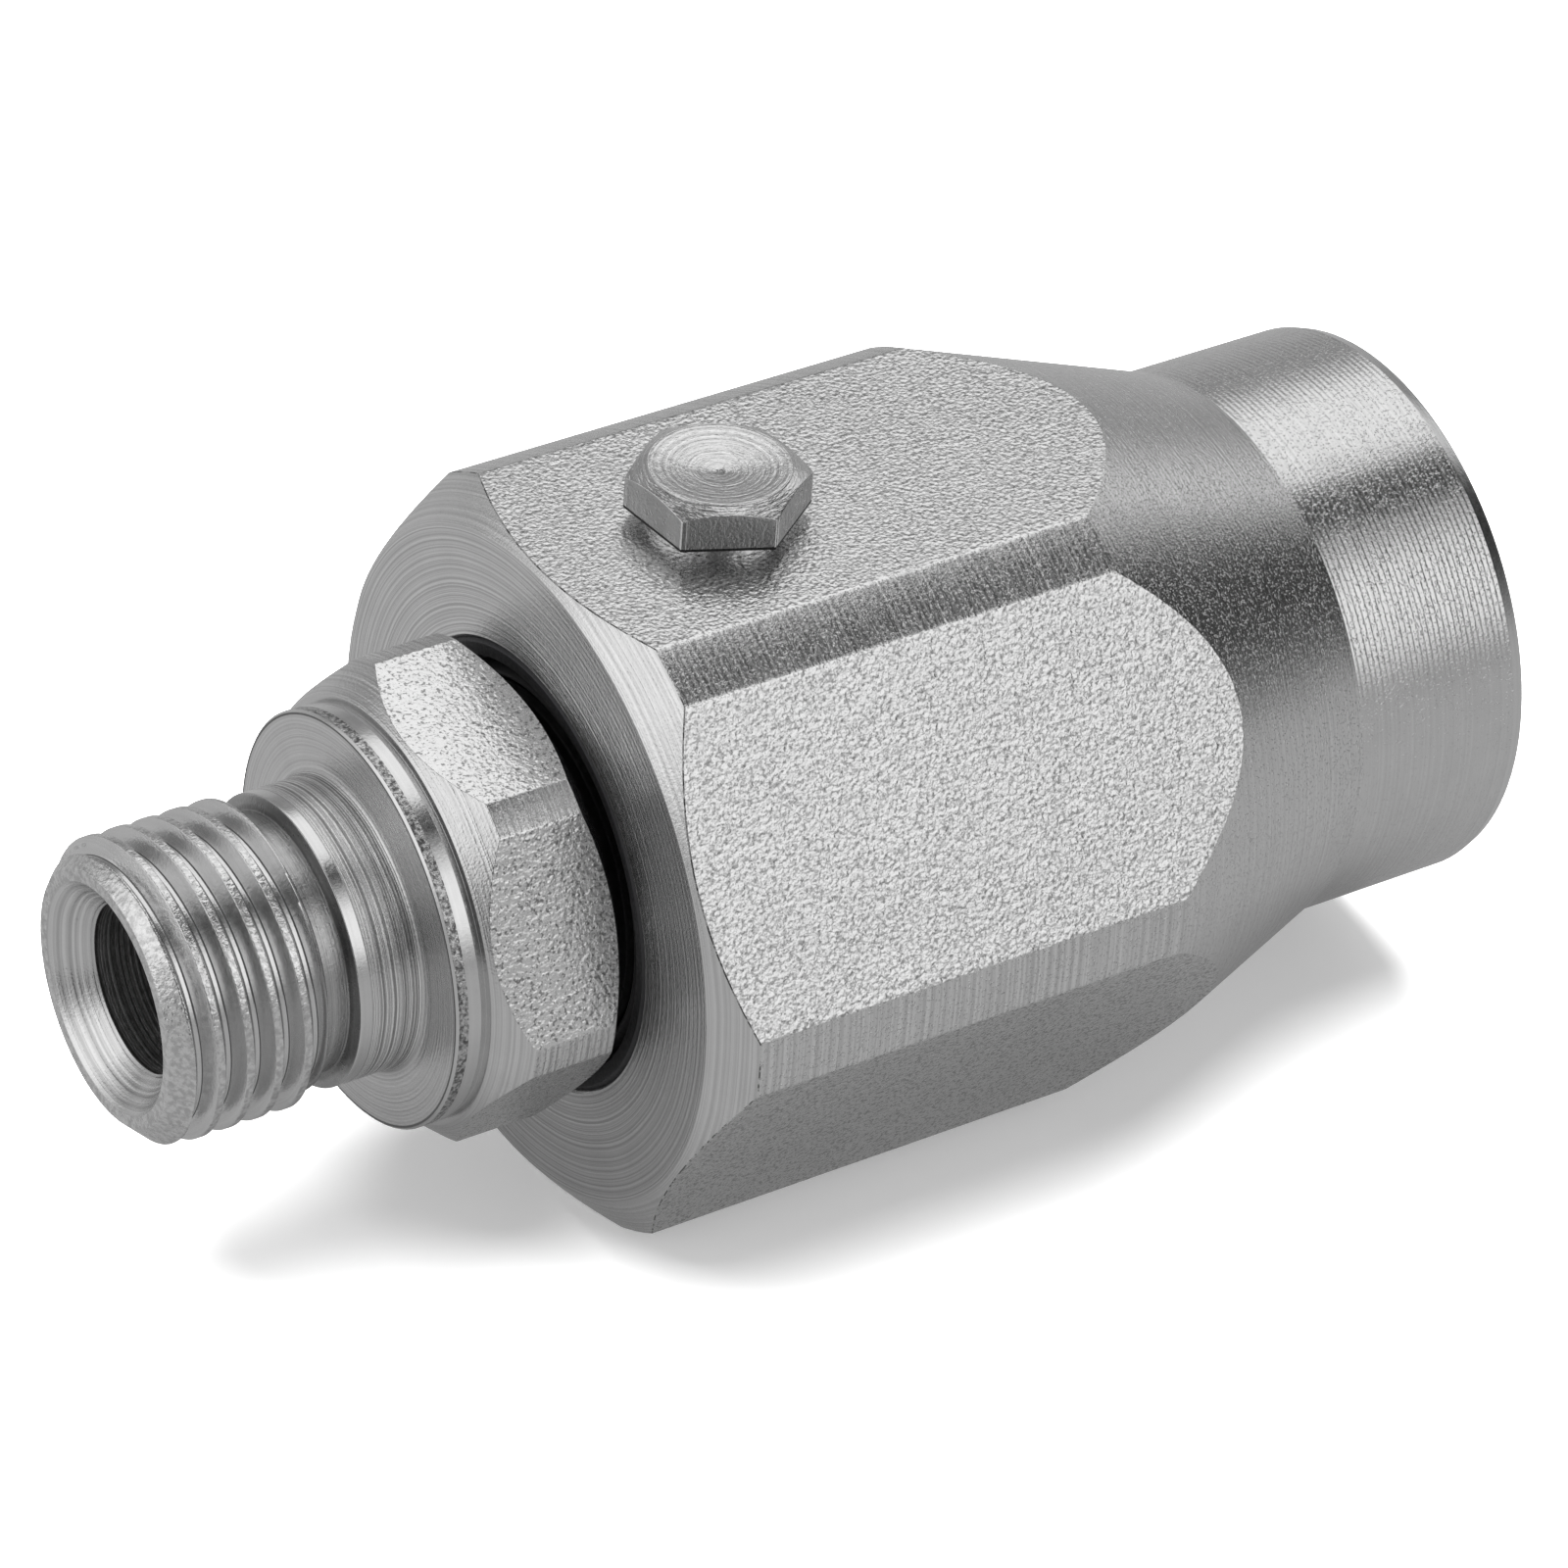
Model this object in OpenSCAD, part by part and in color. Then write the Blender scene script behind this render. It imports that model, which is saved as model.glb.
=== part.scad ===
// In-line ball bearing swivel joint for a hydraulic hose.
// A threaded stem turns freely in a hexagonal housing with a female port.
// Units are millimetres. X is the swivel axis: the male end points to -X,
// the female port opens to +X, and +Z leaves the top flat that carries the
// ball filler plug. The origin is on the axis where the port's wall begins,
// at the foot of its countersink.

/* [Overall] */
// Length from the male lip to the female face
overall_length = 62.6; // [62:0.1:70]
// Diameter of the flow bore through the stem and the housing
flow_bore_d = 7.3; // [5:0.1:7.6]

/* [Male end] */
// Major diameter of the male G1/4 thread
male_major_d = 13.157; // [13:0.001:13.3]
// Distance from the lip to the thread's relief groove
male_thread_length = 7.3; // [6.5:0.1:7.6]
// Outer diameter of the flat lip
male_lip_d = 11.1; // [10.6:0.1:11.6]
// Mouth diameter of the sealing cone
cone_mouth_d = 10.0; // [9:0.1:10.4]
// Angle between the sealing cone and the axis
cone_half_angle = 42; // [30:1:60]
// Bottom diameter of the thread's relief groove
relief_d = 11.2; // [10.6:0.1:12]
// Width of the thread's relief groove
relief_width = 1.1; // [0.8:0.05:1.6]
// Angle between the thread's end wall and the axis
relief_wall_angle = 63; // [45:1:80]
// Diameter of the plain neck behind the thread
neck_d = 12.7; // [12:0.1:13.2]
// Distance from the lip to the collar's front face
collar_face = 11.35; // [10:0.05:12]
// Radius of the fillet between the neck and the collar's face
neck_fillet = 0.4; // [0.2:0.05:0.8]

/* [Stem hexagon] */
// Diameter of the round collar
collar_d = 18.1; // [17:0.1:18.5]
// Width of the round collar
collar_width = 1.2; // [0.8:0.05:1.5]
// Width of the fine groove behind the collar
collar_groove_width = 0.25; // [0.1:0.05:0.4]
// Depth of the fine groove behind the collar
collar_groove_depth = 0.25; // [0.1:0.05:0.5]
// Size of the stem hexagon across its flats
stem_hex_af = 19; // [18.8:0.1:20]
// Diameter that the stem hexagon's corners are turned to
stem_hex_corner_d = 21.1; // [20:0.1:21.8]
// Foot diameter of the hexagon's front chamfer
stem_chamfer_foot_d = 18.6; // [18:0.1:18.9]
// Angle between the front chamfer and the axis
stem_front_chamfer = 41; // [30:1:60]
// Angle between the rear chamfer and the axis
stem_rear_chamfer = 55; // [30:1:65]
// Distance from the lip to the hexagon's rear face
stem_hex_rear = 18.95; // [18:0.05:19.2]
// Diameter of the hexagon's rear face
stem_rear_face_d = 18.5; // [18:0.1:18.9]
// Angle that the stem stands at in its nest, about the swivel axis
stem_rest_angle = 7.6; // [0:0.1:59]

/* [Housing] */
// Size of the housing across its flats
housing_af = 30; // [28:0.1:32]
// Diameter that the housing's corners are turned to
housing_corner_d = 33.2; // [31:0.1:34]
// Distance from the lip to the housing's front face
housing_front = 19.7; // [19.4:0.1:20.4]
// Outer diameter of the flat front face
front_face_d = 29.5; // [27:0.1:29.8]
// Angle between the front chamfer and the axis
front_chamfer_angle = 51.5; // [30:0.5:60]
// Distance from the lip to the start of the rear cone
rear_cone_start = 42.0; // [38:0.1:43]
// Angle between the rear cone and the axis
rear_cone_angle = 19.4; // [15:0.1:25]
// Diameter of the round rear end
rear_d = 24.7; // [23:0.1:26]
// Length of the chamfer on the rear rim
rear_rim_length = 0.6; // [0.3:0.05:1]
// Height of the chamfer on the rear rim
rear_rim_height = 0.2; // [0.1:0.05:0.6]

/* [Female port] */
// Minor diameter of the female G1/4 thread
port_minor_d = 11.445; // [11.4:0.001:11.9]
// Length of the port's wall behind the countersink
port_depth = 12.2; // [11:0.1:12.8]
// Depth of the countersink at the port's mouth
port_mouth_depth = 1.2; // [0.6:0.1:1.6]
// Angle between the countersink and the axis
port_mouth_angle = 45; // [30:1:60]

/* [Ball race] */
// Diameter of a bearing ball
ball_d = 4; // [3.5:0.1:4]
// Distance from the lip to the middle of the ball row
race_position = 28.4; // [27:0.1:30]
// Diameter of the stem's shaft inside the housing
shaft_d = 16; // [15.6:0.1:16.2]

/* [Ball filler plug] */
// Size of the plug's head across its flats
plug_head_af = 6.8; // [6:0.1:8]
// Height of the plug's head above the washer face
plug_head_height = 2; // [1.2:0.05:3]
// Depth of the dish in the top of the head
plug_dish_depth = 0.4; // [0.1:0.05:0.8]
// Height of the washer face under the head
plug_washer_height = 0.5; // [0.1:0.05:0.8]
// Diameter of the washer face under the head
plug_washer_d = 6.3; // [5.5:0.1:6.5]
// Top diameter of the head's corner chamfer
plug_top_d = 6.0; // [5:0.1:6.6]
// Slope of the head's corner chamfer
plug_chamfer_slope = 27; // [15:1:45]
// Angle that the plug's head was tightened to
plug_angle = 5.8; // [0:0.1:59]
// Major diameter of the plug's M5 thread
plug_thread_d = 5; // [4.8:0.1:5.2]
// Minor diameter of the plug's M5 thread, which lets the balls in
plug_minor_d = 4.134; // [4.1:0.001:4.3]
// Wall between the race's crown and the step in the plug's hole
plug_step_wall = 0.6; // [0.4:0.05:1.2]
// Gap between the plug's shank and the step in its hole
plug_seat_gap = 0.4; // [0.2:0.05:0.8]

/* [Seals and guide ring] */
// Radial width of the wiper and its nest around the shaft
wiper_width = 1.85; // [1.5:0.05:2.2]
// Depth of the wiper's nest
wiper_nest_depth = 2.9; // [2.4:0.1:3.2]
// Radial width of the wiper's flat rim
wiper_rim_width = 0.75; // [0.5:0.05:1.1]
// Depth of the wiper's front channel
wiper_channel_depth = 1.1; // [0.6:0.05:1.5]
// Section diameter of the O-ring before it is squeezed
oring_section = 2; // [1.9:0.01:2.1]
// Width of each backup ring
backup_width = 1; // [0.8:0.05:1.1]
// Depth of the seal groove in the stem's shaft
seal_groove_depth = 1.8; // [1.7:0.05:1.9]
// Land between the ball race and the seal groove
seal_land = 1.2; // [0.8:0.1:5]
// Depth of the guide ring's groove in the shaft
guide_groove_depth = 1; // [0.8:0.05:1.3]
// Width of the guide ring
guide_width = 2.6; // [2:0.1:2.8]
// Land between the guide ring's groove and the shaft's end
guide_land = 1; // [0.8:0.1:3]
// Wall of the housing between the shaft's end and the port's drill point
cavity_wall = 1.2; // [0.8:0.1:2]

/* [Clearances] */
// Radial running gap between the stem's shaft and the housing
running_gap = 0.04; // [0.02:0.01:0.08]
// Gap between a ball and each race
ball_gap = 0.05; // [0.02:0.01:0.08]
// Side gap of each ring in its groove
ring_side_gap = 0.05; // [0.02:0.01:0.1]
// Gap between pieces that don't touch
free_gap = 0.3; // [0.2:0.05:0.5]
// Radial gap of the plug's thread in its hole
thread_gap = 0.02; // [0.01:0.01:0.05]

/* [Hidden] */
ball_count = 12;
steel = [0.72, 0.73, 0.74];
rubber = [0.06, 0.06, 0.065];
ptfe = [0.88, 0.87, 0.84];
bronze_ptfe = [0.55, 0.42, 0.28];
ball_steel = [0.82, 0.83, 0.85];
face_x = port_mouth_depth;
lip = face_x - overall_length;
bore_r = flow_bore_d / 2;
shaft_r = shaft_d / 2;
housing_bore_r = shaft_r + running_gap;
pitch_r = shaft_r + running_gap / 2;
race_r = ball_d / 2 + ball_gap;
race_x = lip + race_position;
cone_depth = (cone_mouth_d / 2 - bore_r) / tan(cone_half_angle);
male_major_r = male_major_d / 2;
nose_length = male_major_r - male_lip_d / 2;
relief_r = relief_d / 2;
relief_x = lip + male_thread_length;
relief_end = relief_x + relief_width;
thread_end = relief_x - (male_major_r - relief_r) / tan(relief_wall_angle);
neck_r = neck_d / 2;
collar_x = lip + collar_face;
collar_r = collar_d / 2;
collar_end = collar_x + collar_width;
foot_x = collar_end + collar_groove_width;
stem_foot_r = stem_chamfer_foot_d / 2;
stem_corner_r = stem_hex_corner_d / 2;
stem_front_x = foot_x + (stem_corner_r - stem_foot_r) / tan(stem_front_chamfer);
stem_rear_x = lip + stem_hex_rear;
stem_rear_r = stem_rear_face_d / 2;
stem_rear_edge = stem_rear_x - (stem_corner_r - stem_rear_r) / tan(stem_rear_chamfer);
front_x = lip + housing_front;
corner_r = housing_corner_d / 2;
front_edge = front_x + (corner_r - front_face_d / 2) / tan(front_chamfer_angle);
cone_x = lip + rear_cone_start;
rear_r = rear_d / 2;
rear_x = cone_x + (corner_r - rear_r) / tan(rear_cone_angle);
port_r = port_minor_d / 2;
port_floor = -port_depth;
port_drill_x = port_floor - (port_r - bore_r) / tan(59);
port_mouth_r = port_r + port_mouth_depth * tan(port_mouth_angle);
cavity_end = port_drill_x - cavity_wall;
stem_end = cavity_end - free_gap;
nest_r = shaft_r + wiper_width;
nest_end = front_x + wiper_nest_depth;
top_z = housing_af / 2;
hex_over = 12;
seal_x = race_x + race_r + seal_land;
seal_r = shaft_r - seal_groove_depth;
oring_width = oring_section + 0.15;
seal_width = 2 * backup_width + oring_width + 2 * ring_side_gap;
guide_x = stem_end - guide_land - guide_width;
guide_r = shaft_r - guide_groove_depth;
plug_hole_step = pitch_r + race_r + plug_step_wall;
plug_shank_z = plug_hole_step + plug_seat_gap;

// Turns a profile of [radius, x] points about the swivel axis.
module turned(points) {
  rotate([0, 90, 0])
    rotate_extrude($fn = 128)
      polygon(points);
}

// A hexagonal bar along X, with one flat's normal at the given angle from +Z.
module hex_bar(af, from_x, to_x, angle) {
  rotate([angle, 0, 0])
    translate([from_x, 0, 0])
      rotate([0, 90, 0])
        rotate([0, 0, 30])
          cylinder(d = af / cos(30), h = to_x - from_x, $fn = 6);
}

// The closed race that both grooves are cut with.
module race() {
  translate([race_x, 0, 0])
    rotate([0, 90, 0])
      rotate_extrude($fn = 128)
        translate([pitch_r, 0])
          circle(r = race_r, $fn = 64);
}

// A plain ring about the swivel axis.
module ring(inner_r, outer_r, from_x, width) {
  turned([
    [inner_r, from_x],
    [outer_r, from_x],
    [outer_r, from_x + width],
    [inner_r, from_x + width]
  ]);
}

module housing_blank() {
  intersection() {
    hex_bar(housing_af, front_x - 1, hex_over, 0);
    turned([
      [0, front_x],
      [front_face_d / 2, front_x],
      [corner_r, front_edge],
      [corner_r, cone_x],
      [rear_r, rear_x],
      [rear_r, face_x - rear_rim_length],
      [rear_r - rear_rim_height, face_x],
      [0, face_x]
    ]);
  }
}

module housing_cavity() {
  turned([
    [0, front_x - 1],
    [nest_r + 0.15, front_x - 1],
    [nest_r + 0.15, front_x],
    [nest_r, front_x + 0.15],
    [nest_r, nest_end],
    [housing_bore_r + 0.4, nest_end],
    [housing_bore_r, nest_end + 0.7],
    [housing_bore_r, cavity_end - 0.4],
    [housing_bore_r - 0.4, cavity_end],
    [bore_r, cavity_end],
    [bore_r, port_drill_x],
    [port_r, port_floor],
    [port_r, 0],
    [port_mouth_r, face_x],
    [port_mouth_r, face_x + 1],
    [0, face_x + 1]
  ]);
}

module housing() {
  color(steel)
    difference() {
      housing_blank();
      housing_cavity();
      race();
      translate([race_x, 0, 0])
        cylinder(d = plug_minor_d, h = top_z + 1, $fn = 48);
      translate([race_x, 0, plug_hole_step])
        cylinder(d = plug_thread_d, h = top_z, $fn = 48);
    }
}

module stem_front() {
  turned([
    [bore_r, lip + cone_depth],
    [cone_mouth_d / 2, lip],
    [male_lip_d / 2, lip],
    [male_major_r, lip + nose_length],
    [male_major_r, thread_end],
    [relief_r, relief_x],
    [relief_r, relief_end - 0.1],
    [neck_r, relief_end],
    [neck_r, collar_x - neck_fillet],
    [neck_r + neck_fillet * 0.3, collar_x - neck_fillet * 0.3],
    [neck_r + neck_fillet, collar_x],
    [collar_r - 0.12, collar_x],
    [collar_r, collar_x + 0.12],
    [collar_r, collar_end],
    [collar_r - collar_groove_depth, collar_end],
    [collar_r - collar_groove_depth, foot_x],
    [bore_r, foot_x]
  ]);
}

module stem_hexagon() {
  intersection() {
    hex_bar(stem_hex_af, foot_x - 2, stem_rear_x + 2, stem_rest_angle);
    turned([
      [bore_r, foot_x],
      [stem_foot_r, foot_x],
      [stem_corner_r, stem_front_x],
      [stem_corner_r, stem_rear_edge],
      [stem_rear_r, stem_rear_x],
      [bore_r, stem_rear_x]
    ]);
  }
}

module stem_shaft() {
  difference() {
    turned([
      [bore_r, stem_rear_x],
      [shaft_r + 0.35, stem_rear_x],
      [shaft_r, stem_rear_x + 0.35],
      [shaft_r, seal_x],
      [seal_r, seal_x],
      [seal_r, seal_x + seal_width],
      [shaft_r, seal_x + seal_width],
      [shaft_r, guide_x],
      [guide_r, guide_x],
      [guide_r, guide_x + guide_width],
      [shaft_r, guide_x + guide_width],
      [shaft_r, stem_end - 0.6],
      [shaft_r - 0.35, stem_end],
      [bore_r + 0.5, stem_end],
      [bore_r, stem_end - 0.5]
    ]);
    race();
  }
}

module swivel_stem() {
  color(steel)
    union() {
      stem_front();
      stem_hexagon();
      stem_shaft();
    }
}

module ball_filler_plug() {
  head_z = top_z + plug_washer_height;
  slope = tan(plug_chamfer_slope);
  chamfer_z = plug_head_height - (plug_head_af - plug_top_d / 2) * slope;
  color(steel)
    difference() {
      translate([race_x, 0, 0]) {
        union() {
          intersection() {
            translate([0, 0, head_z])
              rotate([0, 0, plug_angle])
                rotate([0, 0, 30])
                  cylinder(d = plug_head_af / cos(30), h = plug_head_height, $fn = 6);
            translate([0, 0, head_z])
              rotate_extrude($fn = 96)
                polygon([
                  [0, 0],
                  [plug_head_af, 0],
                  [plug_head_af, chamfer_z],
                  [plug_top_d / 2, plug_head_height],
                  [plug_top_d / 2 - 0.2, plug_head_height],
                  [0, plug_head_height - plug_dish_depth]
                ]);
          }
          translate([0, 0, top_z])
            cylinder(d = plug_washer_d, h = plug_washer_height, $fn = 64);
          translate([0, 0, plug_shank_z])
            cylinder(d = plug_thread_d - 2 * thread_gap, h = top_z - plug_shank_z, $fn = 64);
          translate([0, 0, shaft_r - 1])
            cylinder(d = plug_minor_d - 0.1, h = plug_shank_z + 1 - shaft_r, $fn = 64);
        }
      }
      race();
      ring(0, housing_bore_r + thread_gap, race_x - plug_thread_d, 2 * plug_thread_d);
    }
}

module wiper_seal() {
  rim_r = nest_r - wiper_rim_width;
  lip_r = shaft_r + 0.03;
  color(rubber)
    turned([
      [nest_r, front_x + 0.15],
      [nest_r, nest_end],
      [lip_r + 1.1, nest_end],
      [lip_r + 0.25, nest_end - 0.8],
      [lip_r, front_x + wiper_channel_depth - 0.35],
      [lip_r + 0.25, front_x + wiper_channel_depth - 0.6],
      [rim_r - 0.3, front_x + wiper_channel_depth],
      [rim_r, front_x + 0.1],
      [nest_r - 0.15, front_x]
    ]);
}

module pressure_o_ring() {
  mid_x = seal_x + ring_side_gap + backup_width + oring_width / 2;
  outer_r = housing_bore_r - 0.02;
  mid_r = (seal_r + outer_r) / 2;
  color(rubber)
    intersection() {
      translate([mid_x, 0, 0])
        rotate([0, 90, 0])
          rotate_extrude($fn = 128)
            translate([mid_r, 0])
              circle(d = oring_section, $fn = 64);
      ring(seal_r, outer_r, mid_x - 2, 4);
    }
}

module front_backup_ring() {
  color(ptfe)
    ring(seal_r, housing_bore_r - 0.02, seal_x + ring_side_gap, backup_width);
}

module rear_backup_ring() {
  start = seal_x + ring_side_gap + backup_width + oring_width;
  color(ptfe)
    ring(seal_r, housing_bore_r - 0.02, start, backup_width);
}

module guide_ring() {
  color(bronze_ptfe)
    ring(guide_r, housing_bore_r - 0.01, guide_x + ring_side_gap, guide_width - 2 * ring_side_gap);
}

module bearing_ball(number) {
  color(ball_steel)
    rotate([360 * (number - 0.5) / ball_count, 0, 0])
      translate([race_x, 0, pitch_r])
        sphere(d = ball_d, $fn = 48);
}

housing();
swivel_stem();
ball_filler_plug();
wiper_seal();
pressure_o_ring();
front_backup_ring();
rear_backup_ring();
guide_ring();
bearing_ball(1);  // bearing_ball_01
bearing_ball(2);  // bearing_ball_02
bearing_ball(3);  // bearing_ball_03
bearing_ball(4);  // bearing_ball_04
bearing_ball(5);  // bearing_ball_05
bearing_ball(6);  // bearing_ball_06
bearing_ball(7);  // bearing_ball_07
bearing_ball(8);  // bearing_ball_08
bearing_ball(9);  // bearing_ball_09
bearing_ball(10);  // bearing_ball_10
bearing_ball(11);  // bearing_ball_11
bearing_ball(12);  // bearing_ball_12
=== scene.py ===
import math

import bpy
import numpy as np
from mathutils import Matrix, Vector


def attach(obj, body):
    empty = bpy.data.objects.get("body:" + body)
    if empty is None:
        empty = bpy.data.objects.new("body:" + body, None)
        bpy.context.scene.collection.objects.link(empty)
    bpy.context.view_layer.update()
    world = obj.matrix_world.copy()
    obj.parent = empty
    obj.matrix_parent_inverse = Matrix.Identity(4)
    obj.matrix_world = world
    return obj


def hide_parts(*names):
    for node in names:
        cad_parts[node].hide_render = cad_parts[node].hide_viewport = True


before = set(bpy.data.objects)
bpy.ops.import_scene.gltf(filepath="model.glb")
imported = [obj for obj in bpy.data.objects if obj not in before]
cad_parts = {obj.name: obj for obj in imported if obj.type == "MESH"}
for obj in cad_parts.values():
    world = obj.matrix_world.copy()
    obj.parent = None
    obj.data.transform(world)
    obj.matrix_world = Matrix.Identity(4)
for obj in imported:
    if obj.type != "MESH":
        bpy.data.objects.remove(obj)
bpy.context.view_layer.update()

# Lengths are millimetres until a mesh is made, and the swivel axis is X. MM is one millimetre in metres.
MM = 0.001
SECTOR = math.pi / 3
HALF_SECTOR = math.pi / 6
FACE_X = 1.2
LIP = FACE_X - 62.6


# Shape helpers

EDGE_STEPS = np.array([-3.2, -1.6, -0.8, -0.4, 0, 0.4, 0.8, 1.6, 3.2])
EDGE_CLEARANCE = 4.8
CORNER_COLUMNS = 6


def smooth_min(a, b, k):
    """The smaller of a and b, with the crossing rounded over a depth of k."""
    h = np.clip(0.5 + 0.5 * (b - a) / k, 0, 1)
    return b * (1 - h) + a * h - k * h * (1 - h)


def smooth_max(a, b, k):
    return -smooth_min(-a, -b, k)


def ease(t):
    """Rises smoothly from 0 at t = 0 to 1 at t = 1."""
    t = np.clip(t, 0, 1)
    return t * t * (3 - 2 * t)


def tan(degrees):
    return math.tan(math.radians(degrees))


def from_flat(angles, rest_deg):
    """Angles measured from the middle of the nearest flat of a hexagon that is turned by rest_deg."""
    return (angles - math.radians(rest_deg) + HALF_SECTOR) % SECTOR - HALF_SECTOR


def hexagon_edge(flat_r, corner_r):
    """Half the angle that a flat spans, in radians, where turned corners cut it short."""
    return min(math.acos(flat_r / corner_r), HALF_SECTOR)


def hex_columns(flat_r, corner_r, rest_deg, on_flat=16, edge_mm=0.1):
    """Angles about the axis, in radians from +Z towards -Y, closely spaced at the hexagon's edges."""
    edge = hexagon_edge(flat_r, corner_r)
    step = edge_mm / corner_r
    near = EDGE_STEPS * step
    pad = EDGE_CLEARANCE * step
    sector = [np.linspace(-edge + pad, edge - pad, on_flat), edge + near]
    if edge < HALF_SECTOR - 1e-6:
        sector += [np.linspace(edge + pad, SECTOR - edge - pad, CORNER_COLUMNS), SECTOR - edge + near]
    sector = np.concatenate(sector)
    return np.concatenate([sector + math.radians(rest_deg) + k * math.pi / 3 for k in range(6)])


def hex_radius(angles, flat_r, rest_deg, limit, k):
    """Radius of a hexagonal bar whose corners are turned down to limit."""
    local = from_flat(angles, rest_deg)
    here = flat_r / np.cos(local)
    other = flat_r / np.cos(SECTOR - np.abs(local))
    bar = smooth_min(here, other, k)
    return smooth_min(bar, np.full_like(bar, limit), k)


def flat_or_strip(columns, flat_r, corner_r, rest_deg, flat_zone):
    """A function that gives each column's finish: drawn on the hexagon's flats, turned on its corners."""
    edge = hexagon_edge(flat_r, corner_r)
    middle = columns + 0.5 * ((np.roll(columns, -1) - columns) % (2 * math.pi))
    local = np.abs(from_flat(middle, rest_deg))
    return lambda j: flat_zone if local[j] < edge else STRIP


class Profile:
    """An outline of (x, r) points that is turned about X. Each is one number, or one for each column."""

    ARC_STEPS = 4
    LEAST_SETBACK = 0.004
    MOST_SETBACK = 0.4       # of the shorter side
    MARGIN = 0.1             # a level strip beside each arc, which keeps the shading of flat parts even
    MOST_MARGIN = 0.46       # of the shorter side, with the setback

    def __init__(self, columns):
        self.columns = columns
        self.x, self.r, self.round, self.zone = [], [], [], []

    def to(self, x, r, radius=0.0, zone=None):
        """Adds a corner, the radius that rounds it, and the finish of the strip that starts there."""
        n = len(self.columns)
        self.x.append(np.broadcast_to(np.asarray(x, float), (n,)).copy())
        self.r.append(np.broadcast_to(np.asarray(r, float), (n,)).copy())
        self.round.append(radius)
        self.zone.append(zone if zone is not None else self.zone[-1])

    def rows(self):
        """Rounds each corner. Returns x and r by rows and columns, and the finish of each row's strip."""
        x, r = np.array(self.x), np.array(self.r)
        rows_x, rows_r, zones = [], [], []

        def add(row_x, row_r, zone):
            rows_x.append(row_x)
            rows_r.append(row_r)
            zones.append(zone)

        for i in range(len(x)):
            before, after = self.zone[i - 1], self.zone[i]
            if self.round[i] <= 0:
                add(x[i], r[i], after)
                continue
            ahead = (i + 1) % len(x)
            ax, ar, bx, br = x[i] - x[i - 1], r[i] - r[i - 1], x[ahead] - x[i], r[ahead] - r[i]
            la, lb = np.hypot(ax, ar) + 1e-9, np.hypot(bx, br) + 1e-9
            ax, ar, bx, br = ax / la, ar / la, bx / lb, br / lb
            shorter = np.minimum(la, lb)
            turn = np.arccos(np.clip(ax * bx + ar * br, -1, 1))
            t = np.clip(self.round[i] * np.tan(turn / 2), self.LEAST_SETBACK, self.MOST_SETBACK * shorter)
            wide = np.minimum(t + self.MARGIN, self.MOST_MARGIN * shorter)
            add(x[i] - wide * ax, r[i] - wide * ar, before)
            for j in range(self.ARC_STEPS + 1):
                s = j / self.ARC_STEPS
                qa, qb = (1 - s) ** 2, s ** 2
                zone = before if j < self.ARC_STEPS / 2 else after
                add(x[i] - qa * t * ax + qb * t * bx, r[i] - qa * t * ar + qb * t * br, zone)
            add(x[i] + wide * bx, r[i] + wide * br, after)
        return np.array(rows_x), np.array(rows_r), zones


class Shell:
    """Collects turned and threaded patches, and welds them into one mesh."""

    WELD = 1e-4

    def __init__(self, columns):
        self.columns = columns
        self.points, self.faces, self.slots, self.count = [], [], [], 0

    def add_points(self, x, r):
        y, z = -r * np.sin(self.columns), r * np.cos(self.columns)
        self.points.append(np.stack([x, y, z], -1).reshape(-1, 3))
        start = self.count
        self.count += x.size
        return start

    def turned(self, x, r, zones, closed):
        """Adds a patch of revolution. Where it is closed, its last row joins its first."""
        rows, n = x.shape
        start = self.add_points(x, r)
        for i in range(rows if closed else rows - 1):
            here, there = start + i * n, start + (i + 1) % rows * n
            for j in range(n):
                beside = (j + 1) % n
                self.faces.append((here + j, here + beside, there + beside, there + j))
                self.slots.append(zones[i](j) if callable(zones[i]) else zones[i])

    def threaded(self, low, high, root, knots, radius_at, zone_at, inward):
        """Adds a right-hand thread whose rows follow the helix between two planes."""
        columns, n, per_turn = self.columns, len(self.columns), len(knots)
        rise = PITCH * columns / (2 * math.pi)
        first = math.floor((low - root - rise[0]) / PITCH) - 2
        last = math.ceil((high - root - rise[0]) / PITCH) + 2
        starts = np.concatenate([root + PITCH * (turn + knots) for turn in range(first, last)])
        rows = len(starts)
        x = np.clip(starts[:, None] + rise[None, :], low, high)
        start = self.add_points(x, radius_at(x, columns))
        for i in range(rows - 1):
            here, there, next_turn = i * n, (i + 1) * n, per_turn * n
            for j in range(n):
                if j < n - 1:
                    face = (here + j, here + j + 1, there + j + 1, there + j)
                elif i + 1 + per_turn < rows:
                    face = (here + j, here + next_turn, there + next_turn, there + j)
                else:
                    continue
                face = face[::-1] if inward else face
                self.faces.append(tuple(start + corner for corner in face))
                self.slots.append(zone_at(knots[i % per_turn], x[i, j]))

    def mesh(self, name):
        """The mesh in metres, without the faces that the welding closes."""
        points = np.concatenate(self.points)
        keys = np.round(points / self.WELD).astype(np.int64)
        _, kept, place = np.unique(keys, axis=0, return_index=True, return_inverse=True)
        place = place.reshape(-1)
        faces, slots = [], []
        for face, slot in zip(self.faces, self.slots):
            corners = []
            for corner in face:
                corner = int(place[corner])
                if corner not in corners:
                    corners.append(corner)
            if len(corners) > 2:
                faces.append(corners)
                slots.append(slot)
        mesh = bpy.data.meshes.new(name)
        mesh.from_pydata((points[kept] * MM).tolist(), [], faces)
        mesh.polygons.foreach_set("material_index", slots)
        mesh.polygons.foreach_set("use_smooth", [True] * len(faces))
        mesh.update()
        return mesh


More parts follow.
